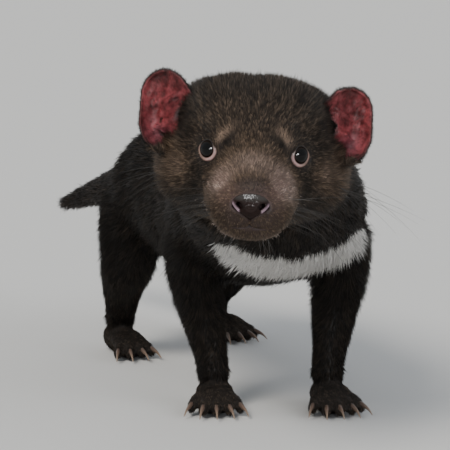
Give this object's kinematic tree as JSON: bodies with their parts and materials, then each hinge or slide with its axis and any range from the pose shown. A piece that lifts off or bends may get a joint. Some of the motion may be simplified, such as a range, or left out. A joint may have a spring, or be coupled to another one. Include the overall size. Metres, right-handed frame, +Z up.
{
  "type": "tasmanian devil, juvenile, still life-size model",
  "caption": "Young Tasmanian devil standing on all fours, short dark coat with a white chest bar, large rounded ears, head turned to its right.",
  "frame": {"origin": "on the floor, under the middle of the part's bounding box", "axes": "+X the way the body faces and its long axis, +Y to the animal's left, +Z up"},
  "size_m": [0.4644, 0.174, 0.2011],
  "materials": {
    "coat": "short dense dark brown-black fur, with a white bar across the chest",
    "face_coat": "very short dark brown fur, thinner and pinkish on the muzzle, pale bare eye rims",
    "paw_coat": "short grey-brown fur over dark skin, bare pads below",
    "ear_skin": "thin bare deep pink skin with a dark fringed rim",
    "nose_skin": "wet black",
    "eye": "glossy, almost black",
    "horn": "pale horn, satin"
  },
  "bodies": {
    "root": {"head": "face_coat", "jaw": "face_coat", "nose": "nose_skin", "ear_left": "ear_skin", "ear_right": "ear_skin", "eye_left": "eye", "eye_right": "eye", "neck": "coat", "chest": "coat", "belly": "coat", "rump": "coat", "tail": "coat", "foreleg_left": "coat", "foreleg_right": "coat", "hindleg_left": "coat", "hindleg_right": "coat", "forepaw_left": "paw_coat", "forepaw_right": "paw_coat", "hindfoot_left": "paw_coat", "hindfoot_right": "paw_coat", "forepaw_left_claw_1": "horn", "forepaw_left_claw_2": "horn", "forepaw_left_claw_3": "horn", "forepaw_left_claw_4": "horn", "forepaw_left_claw_5": "horn", "forepaw_right_claw_1": "horn", "forepaw_right_claw_2": "horn", "forepaw_right_claw_3": "horn", "forepaw_right_claw_4": "horn", "forepaw_right_claw_5": "horn", "hindfoot_left_claw_1": "horn", "hindfoot_left_claw_2": "horn", "hindfoot_left_claw_3": "horn", "hindfoot_left_claw_4": "horn", "hindfoot_right_claw_1": "horn", "hindfoot_right_claw_2": "horn", "hindfoot_right_claw_3": "horn", "hindfoot_right_claw_4": "horn"}
  },
  "joints": []
}
